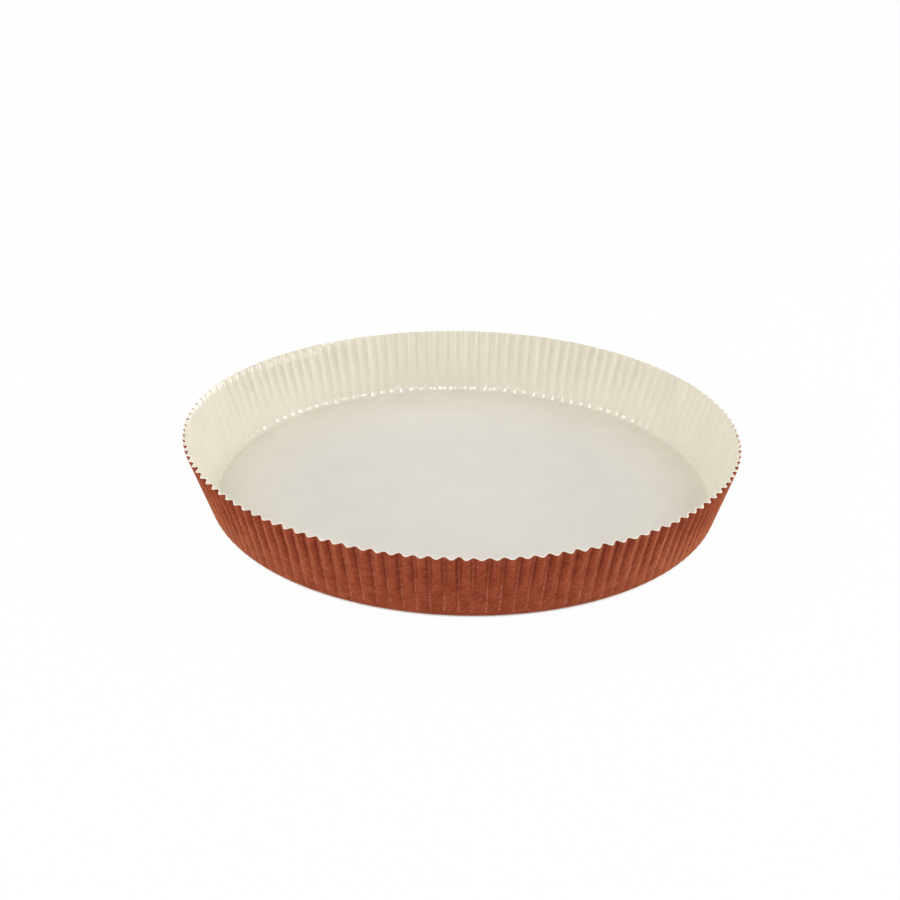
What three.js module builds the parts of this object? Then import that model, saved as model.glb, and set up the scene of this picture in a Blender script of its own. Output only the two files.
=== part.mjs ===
// Paper tart mould
// A round, shallow baking mould pressed from one blank of laminated paper. It has a flat base, a rounded bend
// and a leaning wall of fine flutes, which are deepest at the cut rim and fade out in the bend.
// Millimetres, +Z up. The origin is the middle of the underside of the base.

import * as THREE from 'three';

// Driving dimensions
const rimDiameter = 240; // outside, over the lobes of the flutes
const baseDiameter = 221; // where the outside of the wall, drawn straight on, would meet the table
const mouldHeight = 30; // from the table to the outer edge of the lobes at the rim
const bendRadius = 4; // outside of the bend between base and wall
const fluteCount = 136;
const fluteDepth = 1.5; // how far a crease is pressed in at the rim, square to the wall
const landShare = 1 / 3; // the part of a flute's pitch that stays flat between two creases
const outerPlyThickness = 0.24;
const innerPlyThickness = 0.2;
const filmThickness = 0.03;
const bondGap = 0.02; // glue line between two plies

// Outside of the mould in section, from the edge of the flat base round the bend and up the wall
const wallRun = (rimDiameter - baseDiameter) / 2;
const wallLean = Math.atan2(wallRun, mouldHeight);
const bendAngle = Math.PI / 2 - wallLean;
const bendSetback = bendRadius * Math.tan(bendAngle / 2);
const flatBaseRadius = baseDiameter / 2 - bendSetback;
const wallLength = Math.hypot(wallRun, mouldHeight) - bendSetback;
const bendThird = bendAngle / 3;
const fluteStart = bendRadius * 2 * bendThird; // along the paper from the edge of the flat base
const fluteEnd = bendRadius * bendAngle + wallLength;
const pitchAngle = (2 * Math.PI) / fluteCount;

// One flute, from crease to crease: where a point lies along the pitch, and whether it is pressed in
const crease = { phase: 0, pressed: 1 };
const creaseAndLand = [
  crease,
  { phase: (1 - landShare) / 2, pressed: 0 },
  { phase: (1 + landShare) / 2, pressed: 0 },
];
const creaseAlone = [crease];

// A station is one ring round the outside: its radius and height, the angle by which its outside faces away
// from straight down, its way along the paper, and how finely a flute is drawn there.
function bendStation(turn, flute) {
  return {
    radius: flatBaseRadius + bendRadius * Math.sin(turn),
    height: bendRadius * (1 - Math.cos(turn)),
    facing: turn,
    travel: bendRadius * turn,
    flute,
  };
}

function rimStation(flute) {
  return { radius: rimDiameter / 2, height: mouldHeight, facing: bendAngle, travel: fluteEnd, flute };
}

const stations = [
  bendStation(0, creaseAlone),
  bendStation(bendThird, creaseAlone),
  bendStation(2 * bendThird, creaseAlone),
  bendStation(bendAngle, creaseAndLand),
  rimStation(creaseAndLand),
];

// Points of one flute on a face that lies a given inset under the outside. The flute's outline is offset by
// that inset with mitred corners, so a ply is as thick on the flanks of a crease as on the lands.
function fluteOutline(station, inset) {
  const pitch = station.radius * pitchAngle;
  const depth = (fluteDepth * Math.max(station.travel - fluteStart, 0)) / (fluteEnd - fluteStart);
  const outside = station.flute.map(({ phase, pressed }) => new THREE.Vector2(phase * pitch, pressed * depth));
  const last = outside.length - 1;
  return outside.map((point, index) => {
    const before = outside[index === 0 ? last : index - 1].clone();
    const after = outside[index === last ? 0 : index + 1].clone();
    before.x -= index === 0 ? pitch : 0;
    after.x += index === last ? pitch : 0;
    const slopeBefore = Math.atan2(point.y - before.y, point.x - before.x);
    const slopeAfter = Math.atan2(after.y - point.y, after.x - point.x);
    const tilt = (slopeBefore + slopeAfter) / 2;
    const mitre = inset / Math.cos((slopeAfter - slopeBefore) / 2);
    return new THREE.Vector2(point.x - mitre * Math.sin(tilt), point.y + mitre * Math.cos(tilt));
  });
}

// Adds the points of one ring to a list of positions. Gives their indices and phases, closed on the first one.
function layRing(positions, station, inset) {
  const outline = fluteOutline(station, inset);
  const first = positions.length / 3;
  const ring = [];
  for (let number = 0; number < fluteCount; number += 1) {
    outline.forEach((point, index) => {
      const angle = number * pitchAngle + point.x / station.radius;
      const radius = station.radius - point.y * Math.sin(station.facing);
      const height = station.height + point.y * Math.cos(station.facing);
      ring.push({ vertex: positions.length / 3, phase: number + station.flute[index].phase });
      positions.push(radius * Math.cos(angle), radius * Math.sin(angle), height);
    });
  }
  ring.push({ vertex: first, phase: fluteCount + station.flute[0].phase });
  return ring;
}

// Triangles between two rings, facing out of the mould. The ring that lags behind takes the next step.
function stitch(lower, upper) {
  const triangles = [];
  let low = 0;
  let up = 0;
  while (low < lower.length - 1 || up < upper.length - 1) {
    const upperIsDone = up === upper.length - 1;
    const lowerLags = low < lower.length - 1 && (upperIsDone || lower[low + 1].phase <= upper[up + 1].phase);
    if (lowerLags) {
      triangles.push([lower[low].vertex, lower[low + 1].vertex, upper[up].vertex]);
      low += 1;
    } else {
      triangles.push([lower[low].vertex, upper[up + 1].vertex, upper[up].vertex]);
      up += 1;
    }
  }
  return triangles;
}

// One whole face of a ply: the flat base as a fan round its middle, then the bend and the wall
function layFace(positions, inset) {
  const rings = stations.map((station) => layRing(positions, station, inset));
  const middle = positions.length / 3;
  positions.push(0, 0, inset);
  const [baseEdge] = rings;
  const triangles = [];
  for (let index = 0; index < baseEdge.length - 1; index += 1) {
    triangles.push([middle, baseEdge[index + 1].vertex, baseEdge[index].vertex]);
  }
  for (let index = 0; index < rings.length - 1; index += 1) {
    triangles.push(...stitch(rings[index], rings[index + 1]));
  }
  return { triangles, rim: rings[rings.length - 1] };
}

// A ply is a closed sheet: its outer face, its inner face turned round, and the cut edge that joins them
function plyGeometry(inset, thickness) {
  const positions = [];
  const outer = layFace(positions, inset);
  const inner = layFace(positions, inset + thickness);
  const turnedInner = inner.triangles.map(([a, b, c]) => [a, c, b]);
  const cutEdge = stitch(outer.rim, inner.rim);
  const geometry = new THREE.BufferGeometry();
  geometry.setAttribute('position', new THREE.Float32BufferAttribute(positions, 3));
  geometry.setIndex([...outer.triangles, ...turnedInner, ...cutEdge].flat());
  geometry.computeVertexNormals();
  return geometry;
}

// The plies, from the outside of the mould to the food side
const plies = [
  {
    name: 'outer_ply',
    thickness: outerPlyThickness,
    material: new THREE.MeshStandardMaterial({ color: '#964b35', roughness: 0.95, metalness: 0 }),
  },
  {
    name: 'inner_ply',
    thickness: innerPlyThickness,
    material: new THREE.MeshStandardMaterial({ color: '#e4ddc9', roughness: 0.7, metalness: 0 }),
  },
  {
    name: 'release_film',
    thickness: filmThickness,
    material: new THREE.MeshStandardMaterial({ color: '#ece6d4', roughness: 0.25, metalness: 0 }),
  },
];

const mould = new THREE.Group();
let plyInset = 0;
for (const { name, thickness, material } of plies) {
  const ply = new THREE.Mesh(plyGeometry(plyInset, thickness), material);
  ply.name = name;
  mould.add(ply);
  plyInset += thickness + bondGap;
}

export default mould;
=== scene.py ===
"""Looks of a paper tart mould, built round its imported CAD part.

Two fine meshes stand for the bonded plies: the printed outer paper, and the ivory paper under its
release film. Lengths are metres with +Z up, in the part's own frame: the origin is the middle of the
underside of the base.
"""

import math

import bpy
import numpy as np
from mathutils import Matrix, Vector


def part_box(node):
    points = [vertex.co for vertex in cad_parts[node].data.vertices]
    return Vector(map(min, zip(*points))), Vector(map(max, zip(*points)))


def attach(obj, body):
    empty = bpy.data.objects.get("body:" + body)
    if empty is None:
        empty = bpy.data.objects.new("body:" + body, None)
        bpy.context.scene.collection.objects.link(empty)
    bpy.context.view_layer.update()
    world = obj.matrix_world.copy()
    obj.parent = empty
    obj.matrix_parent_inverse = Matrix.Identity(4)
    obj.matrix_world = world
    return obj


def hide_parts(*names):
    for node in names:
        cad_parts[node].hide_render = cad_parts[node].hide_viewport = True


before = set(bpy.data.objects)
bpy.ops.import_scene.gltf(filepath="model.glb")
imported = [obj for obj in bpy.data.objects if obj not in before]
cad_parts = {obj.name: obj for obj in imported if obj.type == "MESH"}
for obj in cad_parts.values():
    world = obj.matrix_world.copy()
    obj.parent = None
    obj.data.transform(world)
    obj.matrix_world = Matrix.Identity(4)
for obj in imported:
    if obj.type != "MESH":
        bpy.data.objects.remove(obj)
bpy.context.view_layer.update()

# Form of the mould: the CAD part's sizes, with flutes a little deeper because they are rounded here
rim_radius = 0.120
base_radius = 0.1105
rim_height = 0.030
bend_radius = 0.004
flute_count = 136
flute_depth = 0.0016
flute_start_share = 0.35
outer_thickness = 0.00024
film_thickness = 0.00003
lining_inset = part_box("inner_ply")[0].z
food_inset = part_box("release_film")[0].z + film_thickness

# The outside in section, from the edge of the flat base round the bend and up the wall
wall_lean = math.atan2(rim_radius - base_radius, rim_height)
bend_angle = math.pi / 2 - wall_lean
bend_setback = bend_radius * math.tan(bend_angle / 2)
flat_radius = base_radius - bend_setback
bend_length = bend_radius * bend_angle
rim_travel = bend_length + math.hypot(rim_radius - base_radius, rim_height) - bend_setback
flute_start = bend_length * flute_start_share
pitch_angle = math.tau / flute_count
rim_pitch = pitch_angle * rim_radius

# How finely the meshes are drawn: points crowd towards the creases, and the flat base has few rings
points_per_flute = 16
crowding = 0.6
bend_rings = 10
wall_rings = 16
base_margin = 0.0006
base_ring_radii = (0.085, 0.045, 0.012)
sharp_edge = math.radians(50.0)

# A crease in section is a power of a round lobe, and a higher power makes it broader
low_breadth = 0.42
rim_breadth = 0.95
food_breadth = 0.62

# Where a crease starts and ends to broaden, in parts of the way to the rim, and the power by which it deepens
broaden_start = 0.3
broaden_end = 0.9
deepening = 0.95

# Paper gathered over the foot of each crease: how high, and where it rises and falls, in lengths of the bend
pleat_height = 0.00050
pleat_foot = 0.1
pleat_crest = 0.55
pleat_fall = 0.7
pleat_top = 1.5

# How far creases stray, in parts of the pitch: sideways as a whole, and by a wander on the way to the rim
stray_seed = 7
crease_stray = 0.026
crease_wander = 0.012

# The radians that the wander turns by on that way, and the part of the way after which creases stray fully
wander_turn = 5.0
stray_full = 0.2

# The turn of the whole row of creases about the axis
flute_turn = math.radians(-0.43)

# How far flutes stray from their depth, and pleats from their height, in parts of it
depth_stray = 0.10
pleat_stray = 0.30

# How far the rim strays outward and upward: waves by number of crests, with their cosine and sine parts
rim_round = ((1, -0.00105, 0.0), (2, 0.00060, -0.00018), (3, -0.00034, 0.00021))
rim_level = ((1, -0.00066, -0.00021), (2, 0.00042, -0.00005), (3, -0.00028, -0.00017))


def smooth_ramp(value, start, end):
    """0 before start, 1 after end, and smooth between them."""
    share = np.clip((value - start) / (end - start), 0.0, 1.0)
    return share * share * (3.0 - 2.0 * share)


def waves(angle, parts):
    """Waves round the rim, each given by its number of crests and its cosine and sine parts."""
    total = np.zeros_like(angle)
    for crests, cosine, sine in parts:
        total += cosine * np.cos(crests * angle) + sine * np.sin(crests * angle)
    return total


def section_at(travel):
    """Radius, height and facing of the outside, a way along the paper from the edge of the flat base."""
    turn = min(travel / bend_radius, bend_angle)
    up_wall = max(travel - bend_length, 0.0)
    radius = flat_radius + bend_radius * math.sin(turn) + up_wall * math.sin(wall_lean)
    height = bend_radius * (1.0 - math.cos(turn)) + up_wall * math.cos(wall_lean)
    return radius, height, turn


class Flutes:
    """The points round a ring: their angles, how far they are pressed in, and their distance to a crease.

    Gathered is 1 for the food side, where the paper bunches up over the creases, and 0 for other faces.
    """

    def __init__(self):
        draw = np.random.RandomState(stray_seed)
        self.shift = draw.normal(0.0, crease_stray, flute_count)
        self.wander = draw.uniform(0.0, math.tau, flute_count)
        self.depth = 1.0 + draw.normal(0.0, depth_stray, flute_count)
        self.puff = 1.0 + draw.normal(0.0, pleat_stray, flute_count)
        step = np.arange(points_per_flute) / points_per_flute
        phase = step - crowding * np.sin(math.tau * step) / math.tau
        self.phase = np.tile(phase, flute_count)
        self.number = np.repeat(np.arange(flute_count), points_per_flute)
        self.next_number = (self.number + 1) % flute_count
        self.nearest = np.where(self.phase < 0.5, self.number, self.next_number)
        self.lobe = 0.5 - 0.5 * np.cos(math.tau * self.phase)
        self.off_crease = rim_pitch * (0.5 - np.abs(self.phase - 0.5))

    def ring(self, travel, gathered):
        """Angles, depths and lifts of a ring's points, a way along the paper from the flat base."""
        share = max(travel, 0.0) / rim_travel
        strays = self.shift + crease_wander * np.sin(self.wander + wander_turn * share)
        stray = strays[self.number] * (1.0 - self.phase) + strays[self.next_number] * self.phase
        stray = stray * smooth_ramp(share, 0.0, stray_full)
        angle = flute_turn + pitch_angle * (self.number + self.phase + stray)
        fade = (max(travel - flute_start, 0.0) / (rim_travel - flute_start)) ** deepening
        breadth = low_breadth + (rim_breadth - low_breadth) * smooth_ramp(share, broaden_start, broaden_end)
        breadth += gathered * (food_breadth - breadth)
        pressed = 1.0 - self.lobe ** breadth
        depth = flute_depth * fade * self.depth[self.nearest] * pressed
        return angle, depth - share * waves(angle, rim_round), share * waves(angle, rim_level)

    def pleat(self, travel):
        """How far the food side stands up over each crease, where the paper is gathered in the bend."""
        share = travel / bend_length
        rise = smooth_ramp(share, pleat_foot, pleat_crest)
        along = rise * (1.0 - smooth_ramp(share, pleat_fall, pleat_top))
        return pleat_height * self.puff[self.nearest] * along * np.sqrt(1.0 - self.lobe)


flutes = Flutes()


def ring_points(travel, inset, gathered):
    """One ring of a face that lies an inset under the outside, square to the flanks of the flutes too."""
    radius, height, facing = section_at(travel)
    angle, depth, lift = flutes.ring(travel, gathered)
    across = radius * angle
    run = np.roll(across, -1) - np.roll(across, 1)
    run = np.where(run < 0.0, run + math.tau * radius, run)
    tilt = np.arctan2(np.roll(depth, -1) - np.roll(depth, 1), run)
    across = across - inset * np.sin(tilt)
    into = depth + inset * np.cos(tilt) + gathered * flutes.pleat(travel)
    ring_radius = radius - into * math.sin(facing)
    ring_height = height + lift + into * math.cos(facing)
    turn = across / radius
    return np.stack([ring_radius * np.cos(turn), ring_radius * np.sin(turn), ring_height], axis=1)


def circle_points(radius, count, height):
    """A plain ring on the flat base."""
    turn = np.arange(count) * math.tau / count
    return np.stack([radius * np.cos(turn), radius * np.sin(turn), np.full(count, height)], axis=1)


# Material slots of a ply
outside_slot = 0
inside_slot = 1
cut_slot = 2


class PlyMesh:
    """Collects the rings of a ply's two faces and its cut edge into one closed mesh."""

    def __init__(self):
        self.points = []
        self.count = 0
        self.faces = []
        self.slots = []
        self.travel = []
        self.off_crease = []
        self.blank = []

    def add_ring(self, points, travel, off_crease):
        """Adds points that were all as far from the middle of the flat blank. Gives their indices."""
        first = self.count
        self.points.append(points)
        self.count += len(points)
        self.travel.append(np.full(len(points), travel))
        self.off_crease.append(off_crease)
        turn = np.arctan2(points[:, 1], points[:, 0])
        reach = flat_radius + travel
        self.blank.append(np.stack([reach * np.cos(turn), reach * np.sin(turn), 0.0 * turn], axis=1))
        return np.arange(first, self.count)

    def add_face(self, corners, slot, flip):
        """One face, with its corners turned round where it has to look the other way."""
        corners = [int(corner) for corner in corners]
        self.faces.append(corners[::-1] if flip else corners)
        self.slots.append(slot)

    def bridge(self, lower, upper, slot, flip):
        """Quads between two rings of as many points."""
        for corners in zip(lower, np.roll(lower, -1), np.roll(upper, -1), upper):
            self.add_face(corners, slot, flip)

    def thin_out(self, outer, inner, slot, flip):
        """Triangles between a fine ring and a coarser one inside it."""
        share = len(outer) // len(inner)
        half = share // 2
        for number, corner in enumerate(inner):
            following = inner[(number + 1) % len(inner)]
            first = number * share
            for place in range(first, first + share):
                near = corner if place < first + half else following
                self.add_face((near, outer[place], outer[(place + 1) % len(outer)]), slot, not flip)
            self.add_face((corner, following, outer[first + half]), slot, flip)

    def lay_face(self, inset, slot, flip, gathered=0.0):
        """The whole face at an inset, from the middle of the base up to the rim. Gives the rim's ring."""
        edge = ring_points(0.0, inset, gathered)
        shrink = 1.0 - base_margin / flat_radius
        edge_ring = edge * np.array([shrink, shrink, 1.0])
        rings = [self.add_ring(edge_ring, -base_margin, flutes.off_crease)]
        ways = np.concatenate([
            np.linspace(0.0, bend_length, bend_rings + 1),
            np.linspace(bend_length, rim_travel, wall_rings + 1)[1:],
        ])
        for travel in ways:
            rings.append(self.add_ring(ring_points(travel, inset, gathered), travel, flutes.off_crease))
        for lower, upper in zip(rings, rings[1:]):
            self.bridge(lower, upper, slot, flip)
        coarse = rings[0]
        for radius in base_ring_radii:
            points = circle_points(radius, flute_count, inset)
            ring = self.add_ring(points, radius - flat_radius, np.full(flute_count, rim_pitch))
            if len(coarse) == flute_count:
                self.bridge(ring, coarse, slot, flip)
            else:
                self.thin_out(coarse, ring, slot, flip)
            coarse = ring
        middle = self.add_ring(np.array([[0.0, 0.0, inset]]), -flat_radius, np.array([rim_pitch]))[0]
        for corner, following in zip(coarse, np.roll(coarse, -1)):
            self.add_face((middle, following, corner), slot, flip)
        return rings[-1]

    def make(self, name, materials):
        """The finished piece. Its points keep their places on the flat blank for the finishes."""
        mesh = bpy.data.meshes.new(name)
        mesh.from_pydata(np.concatenate(self.points).tolist(), [], self.faces)
        mesh.polygons.foreach_set("material_index", self.slots)
        mesh.polygons.foreach_set("use_smooth", [True] * len(self.faces))
        for label, values in (("travel", self.travel), ("off_crease", self.off_crease)):
            attribute = mesh.attributes.new(label, "FLOAT", "POINT")
            attribute.data.foreach_set("value", np.concatenate(values).astype(np.float32))
        attribute = mesh.attributes.new("blank", "FLOAT_VECTOR", "POINT")
        attribute.data.foreach_set("vector", np.concatenate(self.blank).astype(np.float32).ravel())
        mesh.set_sharp_from_angle(angle=sharp_edge)
        mesh.update()
        for material in materials:
            mesh.materials.append(material)
        piece = bpy.data.objects.new(name, mesh)
        bpy.context.scene.collection.objects.link(piece)
        return piece


def make_ply(name, inset, thickness, finishes, gathered=0.0):
    """A closed sheet of paper, with finishes for its outside, its inside and its cut edge."""
    ply = PlyMesh()
    outer_rim = ply.lay_face(inset, outside_slot, False)
    inner_rim = ply.lay_face(inset + thickness, inside_slot, True, gathered)
    ply.bridge(outer_rim, inner_rim, cut_slot, False)
    return ply.make(name, finishes)


# Size of a grain in noise of scale 1
unit_grain = 0.6


class Finish:
    """A material with one Principled shader, and short ways to add the nodes that feed it."""

    def __init__(self, name):
        self.material = bpy.data.materials.new(name)
        self.material.use_nodes = True
        self.tree = self.material.node_tree
        self.shader = self.tree.nodes["Principled BSDF"]

    def set(self, **values):
        """Sets the shader's sockets: an underscore stands for a space in a socket's name."""
        for name, value in values.items():
            self.feed(self.shader.inputs[name.replace("_", " ")], value)

    def feed(self, socket, value):
        """Joins a socket to another node's output, or sets it to a constant."""
        if isinstance(value, bpy.types.NodeSocket):
            self.tree.links.new(value, socket)
        else:
            socket.default_value = value

    def node(self, kind, output, inputs, **settings):
        """Adds a node, sets its settings, feeds its inputs by name or number, and gives one output."""
        node = self.tree.nodes.new(kind)
        for name, value in settings.items():
            setattr(node, name, value)
        for name, value in inputs.items():
            self.feed(node.inputs[name], value)
        return node.outputs[output]

    def value(self, name):
        """A number that the mesh keeps for each of its points."""
        return self.node("ShaderNodeAttribute", "Fac", {}, attribute_name=name)

    def blank(self, turn=0.0, stretch=1.0):
        """Places on the flat blank, for a texture that is stretched along its first axis and then turned."""
        place = self.node("ShaderNodeAttribute", "Vector", {}, attribute_name="blank")
        inputs = {"Vector": place, "Rotation": (0.0, 0.0, turn), "Scale": (stretch, 1.0, 1.0)}
        return self.node("ShaderNodeMapping", "Vector", inputs, vector_type="TEXTURE")

    def noise(self, grain, place, detail=2.0, roughness=0.5):
        """Noise from 0 to 1, with grains of about a given size in metres."""
        inputs = {"Vector": place, "Scale": unit_grain / grain, "Detail": detail, "Roughness": roughness}
        return self.node("ShaderNodeTexNoise", "Fac", inputs)

    def ramp(self, value, start, end, low=0.0, high=1.0):
        """Low before start, high after end, and smooth between them."""
        inputs = {"Value": value, "From Min": start, "From Max": end, "To Min": low, "To Max": high}
        return self.node("ShaderNodeMapRange", "Result", inputs, interpolation_type="SMOOTHSTEP")

    def maths(self, operation, first, second=0.0):
        """One step of arithmetic on one or two values."""
        return self.node("ShaderNodeMath", "Value", {0: first, 1: second}, operation=operation)

    def product(self, first, *others):
        """All the values multiplied together."""
        total = first
        for other in others:
            total = self.maths("MULTIPLY", total, other)
        return total

    def mix(self, factor, under, over):
        """One colour over another. A Mix node's colours come after its numbers and vectors."""
        inputs = {0: factor, 6: under, 7: over}
        return self.node("ShaderNodeMix", 2, inputs, data_type="RGBA")

    def bump(self, height, strength, distance, normal=None):
        """A bent normal, on top of another one where that is given."""
        inputs = {"Height": height, "Strength": strength, "Distance": distance}
        if normal is not None:
            inputs["Normal"] = normal
        return self.node("ShaderNodeBump", "Normal", inputs)


def colour(red, green, blue):
    """A screen colour, 0 to 255, as the linear colour that a shader takes."""
    parts = [value / 255.0 for value in (red, green, blue)]
    linear = [part / 12.92 if part <= 0.04045 else ((part + 0.055) / 1.055) ** 2.4 for part in parts]
    return (*linear, 1.0)


# Colours of the print, with painted shade beside each crease and painted light along its bottom
print_deep = colour(142, 59, 35)
print_light = colour(161, 75, 48)
print_streak = colour(116, 47, 28)
print_fibre = colour(181, 98, 71)
fold_shade_colour = colour(96, 36, 20)
lit_line_colour = colour(200, 124, 102)
print_pale_speck = colour(196, 118, 90)
print_dark_speck = colour(100, 40, 24)
print_sheen = colour(255, 190, 130)

# Grains of the print, the lie of its streaks, and the height of its relief
print_cloud_grain = 0.004
streak_grain = 0.0008
streak_stretch = 5.0
streak_turn = math.radians(-35.0)
fibre_grain = 0.0008
speck_grain = 0.0006
patch_grain = 0.006
fibre_relief = 0.00018
streak_relief = 0.0002

# Painted shade beside each crease: its distance from the crease's bottom, low down and at the rim, how far it
# spreads, and the stretch of the wall in which it grows dark
low_shade_offset = 0.00062
rim_shade_offset = 0.00086
fold_shade_spread = 0.00062
fold_shade_rise = (0.008, 0.026)
fold_shade_strength = 0.55

# Painted light along a crease's bottom, a pale line: its half width from full to none, and where it starts
# and weakens
lit_line_width = (0.00012, 0.00068)
lit_line_start = (0.0042, 0.0062)
lit_line_fall = (0.010, 0.026)
low_lit_line_strength = 0.85
rim_lit_line_strength = 0.25


def printed_paper():
    """Matte terracotta print on fibrous paper: painted shade beside each crease, painted light along its
    bottom.
    """
    finish = Finish("terracotta_print")
    flat = finish.blank()
    cloud = finish.noise(print_cloud_grain, flat, detail=3.0, roughness=0.6)
    streak = finish.noise(streak_grain, finish.blank(streak_turn, streak_stretch), detail=3.0, roughness=0.6)
    fibre = finish.noise(fibre_grain, flat, detail=3.0, roughness=0.75)
    speck = finish.noise(speck_grain, flat, roughness=0.6)
    patch = finish.noise(patch_grain, flat, roughness=0.6)
    travel = finish.value("travel")
    off_crease = finish.value("off_crease")
    body = finish.mix(finish.ramp(cloud, 0.35, 0.65), print_deep, print_light)
    body = finish.mix(finish.ramp(streak, 0.42, 0.68, high=0.6), body, print_streak)
    body = finish.mix(finish.ramp(fibre, 0.50, 0.72, high=0.7), body, print_fibre)
    # Painted shade beside each crease, growing darker up the wall
    fold_shade_offset = finish.ramp(travel, bend_length, rim_travel, low_shade_offset, rim_shade_offset)
    off_fold_shade = finish.maths("ABSOLUTE", finish.maths("SUBTRACT", off_crease, fold_shade_offset))
    fold_shade = finish.product(
        finish.ramp(off_fold_shade, 0.0, fold_shade_spread, low=1.0, high=0.0),
        finish.ramp(travel, *fold_shade_rise, high=fold_shade_strength),
    )
    body = finish.mix(fold_shade, body, fold_shade_colour)
    # Painted light along each crease's bottom, strongest low down on the wall, broken up by noise
    lit_line = finish.product(
        finish.ramp(off_crease, *lit_line_width, low=1.0, high=0.0),
        finish.ramp(travel, *lit_line_start),
        finish.ramp(travel, *lit_line_fall, low=low_lit_line_strength, high=rim_lit_line_strength),
        finish.ramp(speck, 0.40, 0.60, low=0.1),
        finish.ramp(patch, 0.38, 0.58, low=0.35),
    )
    body = finish.mix(lit_line, body, lit_line_colour)
    body = finish.mix(finish.ramp(speck, 0.60, 0.76, high=0.55), body, print_pale_speck)
    body = finish.mix(finish.ramp(speck, 0.24, 0.42, low=0.65, high=0.0), body, print_dark_speck)
    relief = finish.bump(fibre, strength=0.5, distance=fibre_relief)
    relief = finish.bump(streak, strength=0.5, distance=streak_relief, normal=relief)
    finish.set(Base_Color=body, Roughness=0.9, Specular_IOR_Level=0.08, Normal=relief)
    finish.set(Sheen_Weight=0.45, Sheen_Roughness=0.4, Sheen_Tint=print_sheen)
    return finish.material


# Colours of the lining: pale ivory on the base and a warmer ivory on the wall, whose warmth is painted light
# bounced between the walls, each clouded between two tones, and the painted shades in the bend and the
# creases
pale_ivory = (colour(227, 222, 214), colour(230, 225, 217))
bounce_warm_ivory = (colour(227, 221, 204), colour(230, 225, 208))
bend_shade_ivory = colour(212, 205, 189)
creased_ivory = colour(206, 199, 182)

# Grains of the lining, and the depth of the dimples in its film
lining_cloud_grain = 0.012
dimple_grain = 0.0016
dimple_depth = 0.0003

# Stretches along the paper from the flat base's edge: where the painted bounce warmth grows, and the painted
# bend shade
bounce_warm_rise = (-0.035, 0.012)
bend_shade_rise = (-0.002, 0.001)
bend_shade_fall = (0.003, 0.012)
bend_shade_strength = 0.22

# The shade in a crease: its half width from full to none, and the stretch of the wall in which it grows
crease_width = (0.0001, 0.0010)
crease_rise = (0.006, 0.024)
crease_strength = 0.46

# Stretches from left to right over the blank where those shades fade, and how much of a crease's stays
bend_shade_right = (0.05, 0.10)
crease_right = (0.080, 0.115)
crease_left = (-0.134, -0.112)
crease_rest = 0.2

# On the left the film curls outward just under the rim: over which length, by how many radians a metre, and
# where the curl is full and where it ends, from left to right over the blank
lip_height = 0.0060
lip_start = rim_travel - lip_height
lip_curl = 75.0
curled_side = -0.085
straight_side = -0.045


def ivory_lining():
    """Ivory paper under a clear release film: a soft base with a glossy coat that is not quite even."""
    finish = Finish("ivory_film")
    flat = finish.blank()
    cloud = finish.noise(lining_cloud_grain, flat, detail=3.0, roughness=0.55)
    travel = finish.value("travel")
    off_crease = finish.value("off_crease")
    aside = finish.node("ShaderNodeSeparateXYZ", "X", {"Vector": flat})
    clouded = finish.ramp(cloud, 0.3, 0.7)
    pale = finish.mix(clouded, *pale_ivory)
    # The warmer ivory up the wall is painted warmth of light bounced between the walls
    bounce_warm = finish.mix(clouded, *bounce_warm_ivory)
    body = finish.mix(finish.ramp(travel, *bounce_warm_rise), pale, bounce_warm)
    # Painted shade in the bend between base and wall, fading out at the right end
    pressed = finish.product(
        finish.ramp(travel, *bend_shade_rise, high=bend_shade_strength),
        finish.ramp(travel, *bend_shade_fall, low=1.0, high=0.0),
        finish.ramp(aside, *bend_shade_right, low=1.0, high=0.0),
    )
    body = finish.mix(pressed, body, bend_shade_ivory)
    # Painted shade along each crease of the lining, fading at both ends
    creased = finish.product(
        finish.ramp(off_crease, *crease_width, low=1.0, high=0.0),
        finish.ramp(travel, *crease_rise, high=crease_strength),
        finish.ramp(aside, *crease_right, low=1.0, high=crease_rest),
        finish.ramp(aside, *crease_left, low=crease_rest),
    )
    body = finish.mix(creased, body, creased_ivory)
    past_lip = finish.maths("MAXIMUM", finish.maths("SUBTRACT", travel, lip_start), 0.0)
    curl = finish.ramp(aside, curled_side, straight_side, low=-0.5 * lip_curl, high=0.0)
    drop = finish.product(past_lip, past_lip, curl)
    lip = finish.bump(drop, strength=1.0, distance=1.0)
    dimple = finish.noise(dimple_grain, flat)
    gloss = finish.bump(dimple, strength=0.10, distance=dimple_depth, normal=lip)
    finish.set(Base_Color=body, Roughness=0.6, Specular_IOR_Level=0.0)
    finish.set(Coat_Weight=0.4, Coat_Roughness=0.27, Coat_IOR=1.5, Coat_Normal=gloss)
    return finish.material


# The paper's core: its colours and the size of its grain
core_deep = colour(236, 229, 212)
core_light = colour(244, 239, 225)
core_grain = 0.0004


def paper_core():
    """The pale core of the paper, as it shows on the cut rim."""
    finish = Finish("paper_core")
    fibre = finish.noise(core_grain, finish.blank(), roughness=0.6)
    body = finish.mix(finish.ramp(fibre, 0.3, 0.7), core_deep, core_light)
    finish.set(Base_Color=body, Roughness=0.85)
    return finish.material


# The two bonded plies
print_finish = printed_paper()
core_finish = paper_core()
lining_finish = ivory_lining()

outer_paper = make_ply("outer_paper", 0.0, outer_thickness, [print_finish, core_finish, core_finish])
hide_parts("outer_ply")
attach(outer_paper, "root")

lining_thickness = food_inset - lining_inset
lining_finishes = [core_finish, lining_finish, core_finish]
film_lining = make_ply("film_lining", lining_inset, lining_thickness, lining_finishes, gathered=1.0)
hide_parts("inner_ply", "release_film")
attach(film_lining, "root")

# The floor
floor_half = 3.0
floor_drop = 0.0001
floor_grey = (0.95, 0.95, 0.95, 1.0)

# How much of the floor is plain white where it is looked at, in the gap under the bend and in the open, and
# how far from the flat base the gap ends and the open starts. The rest shows the mould's shadow
gap_white = 0.2
open_white = 0.97
gap_end = 0.0008
open_start = 0.0024


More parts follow.
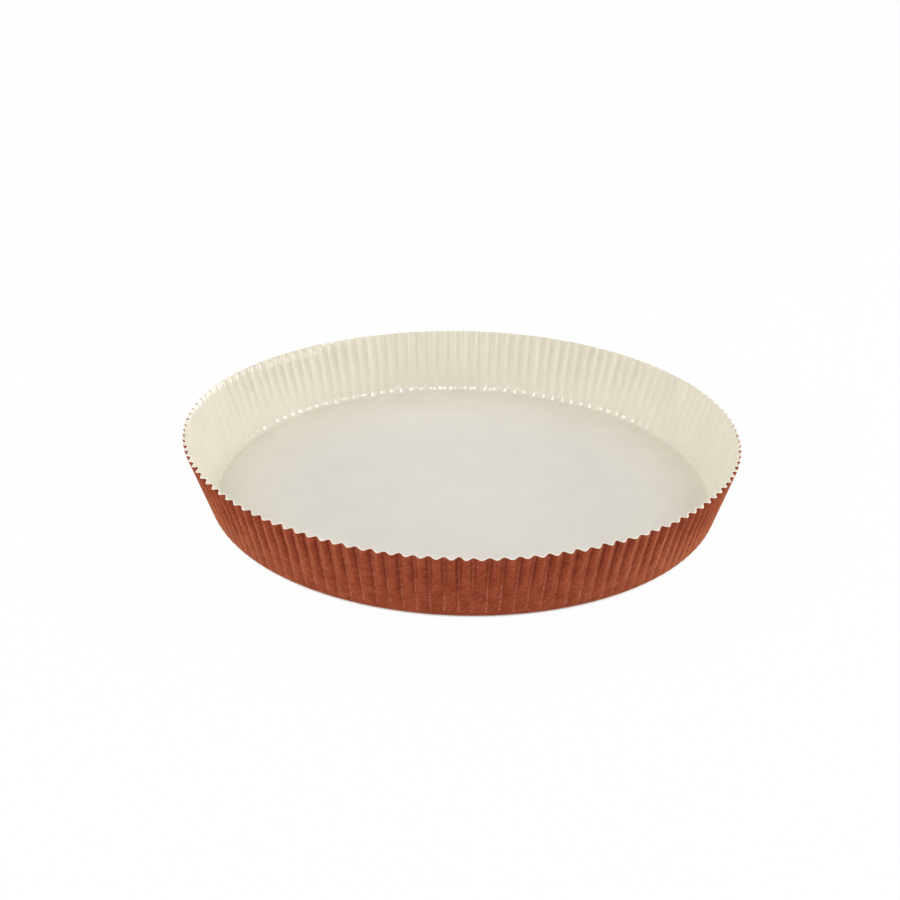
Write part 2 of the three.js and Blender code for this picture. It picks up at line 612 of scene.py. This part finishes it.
def make_floor():
    """A wide floor just under the base."""
    corners = [(-floor_half, -floor_half, 0.0), (floor_half, -floor_half, 0.0),
               (floor_half, floor_half, 0.0), (-floor_half, floor_half, 0.0)]
    mesh = bpy.data.meshes.new("floor")
    mesh.from_pydata(corners, [], [(0, 1, 2, 3)])
    floor = bpy.data.objects.new("floor", mesh)
    floor.location.z = -floor_drop
    bpy.context.scene.collection.objects.link(floor)
    finish = Finish("floor_white")
    finish.set(Base_Color=floor_grey, Roughness=1.0, Specular_IOR_Level=0.0)
    seen = finish.tree.nodes.new("ShaderNodeLightPath").outputs
    looked_at = finish.maths("MAXIMUM", seen["Is Camera Ray"], seen["Is Glossy Ray"])
    looked_at = finish.maths("MAXIMUM", looked_at, seen["Is Transmission Ray"])
    place = finish.node("ShaderNodeTexCoord", "Object", {})
    away = finish.node("ShaderNodeVectorMath", "Value", {0: place}, operation="LENGTH")
    past_base = finish.maths("SUBTRACT", away, flat_radius)
    share = finish.product(looked_at, finish.ramp(past_base, gap_end, open_start, gap_white, open_white))
    shaded = finish.shader.outputs["BSDF"]
    plain = finish.node("ShaderNodeEmission", "Emission", {"Strength": 1.0})
    blend = finish.node("ShaderNodeMixShader", "Shader", {0: share, 1: shaded, 2: plain})
    finish.feed(finish.tree.nodes["Material Output"].inputs["Surface"], blend)
    mesh.materials.append(finish.material)


# The room's light on the mould, and the white that the camera sees behind it
room_level = 0.5225
backdrop_level = 1.0
white = (1.0, 1.0, 1.0, 1.0)


def make_world():
    """An even room, with a white backdrop for the camera alone."""
    world = bpy.data.worlds.new("studio")
    world.use_nodes = True
    tree = world.node_tree
    tree.nodes.clear()
    add = tree.nodes.new
    join = tree.links.new
    blend = add("ShaderNodeMixShader")
    join(add("ShaderNodeLightPath").outputs["Is Camera Ray"], blend.inputs["Fac"])
    for socket, level in ((1, room_level), (2, backdrop_level)):
        light = add("ShaderNodeBackground")
        light.inputs["Color"].default_value = white
        light.inputs["Strength"].default_value = level
        join(light.outputs["Background"], blend.inputs[socket])
    join(blend.outputs["Shader"], add("ShaderNodeOutputWorld").inputs["Surface"])
    bpy.context.scene.world = world


# Soft studio light: low panels and high softboxes, by bearing in degrees, elevation and watts
softbox_distance = 1.0
softbox_size = (0.40, 0.35)
high_softbox = math.radians(45.0)
low_softbox = math.radians(15.0)
softboxes = (
    ("left_panel", -160.0, low_softbox, 2.84),
    ("left_front_panel", -125.0, low_softbox, 0.62),
    ("right_panel", -20.0, low_softbox, 2.30),
    ("right_back_panel", 15.0, low_softbox, 1.60),
    ("left_front_softbox", -145.0, high_softbox, 1.16),
    ("left_back_softbox", 160.0, high_softbox, 0.40),
    ("right_front_softbox", -35.0, high_softbox, 1.25),
    ("right_back_softbox", 20.0, high_softbox, 0.72),
    ("back_softbox", 90.0, high_softbox, 0.71),
)

# Small lamps that gleam in the film, by place and watts
gleam_size = (0.06, 0.06)
gleams = (
    ("right_gleam", (0.608, -0.188, 0.700), 16.0),
    ("left_gleam", (-0.472, -0.334, 0.748), 13.0),
    ("front_gleam", (0.03, -0.77, 0.50), 5.0),
)


def make_lamp(name, place, size, power):
    """A flat lamp that faces the mould."""
    light = bpy.data.lights.new(name, "AREA")
    light.shape = "RECTANGLE"
    light.size, light.size_y = size
    light.energy = power
    lamp = bpy.data.objects.new(name, light)
    bpy.context.scene.collection.objects.link(lamp)
    lamp.location = place
    lamp.rotation_euler = (-Vector(place)).to_track_quat("-Z", "Y").to_euler()
    return lamp


def make_softbox(name, bearing, elevation, power):
    """A softbox that faces the mould from a bearing in degrees."""
    turn = math.radians(bearing)
    level = softbox_distance * math.cos(elevation)
    place = (level * math.cos(turn), level * math.sin(turn), softbox_distance * math.sin(elevation))
    make_lamp(name, place, softbox_size, power)


def make_gleam(name, place, power):
    """A lamp that shines on glossy surfaces alone, so it shows in the film and leaves the paper as it is."""
    make_lamp(name, place, gleam_size, power).visible_diffuse = False


# The camera, fitted to the rim, its creases and the lower outline in the photograph
camera_distance = 0.5896
camera_elevation = math.radians(23.966)
aim_pitch = math.radians(25.076)
aim_yaw = math.radians(-0.664)
camera_roll = math.radians(1.055)
focal_length = 53.875
sensor_width = 36.0
nearest_view = 0.01


def make_camera():
    """A camera at a distance from the middle of the rim, turned aside and rolled a little."""
    data = bpy.data.cameras.new("camera")
    data.lens = focal_length
    data.sensor_width = sensor_width
    data.clip_start = nearest_view
    camera = bpy.data.objects.new("camera", data)
    bpy.context.scene.collection.objects.link(camera)
    back = Vector((0.0, -math.cos(camera_elevation), math.sin(camera_elevation)))
    place = Vector((0.0, 0.0, rim_height)) + camera_distance * back
    level = math.cos(aim_pitch)
    ahead = Vector((math.sin(aim_yaw) * level, math.cos(aim_yaw) * level, -math.sin(aim_pitch)))
    right = Vector((math.cos(aim_yaw), -math.sin(aim_yaw), 0.0))
    up = right.cross(ahead)
    rolled_right = math.cos(camera_roll) * right + math.sin(camera_roll) * up
    rolled_up = math.cos(camera_roll) * up - math.sin(camera_roll) * right
    axes = Matrix((rolled_right, rolled_up, -ahead)).transposed().to_4x4()
    camera.matrix_world = Matrix.Translation(place) @ axes
    bpy.context.scene.camera = camera


make_floor()
make_world()
for softbox in softboxes:
    make_softbox(*softbox)
for gleam in gleams:
    make_gleam(*gleam)
make_camera()

bpy.context.scene.view_settings.view_transform = "Standard"
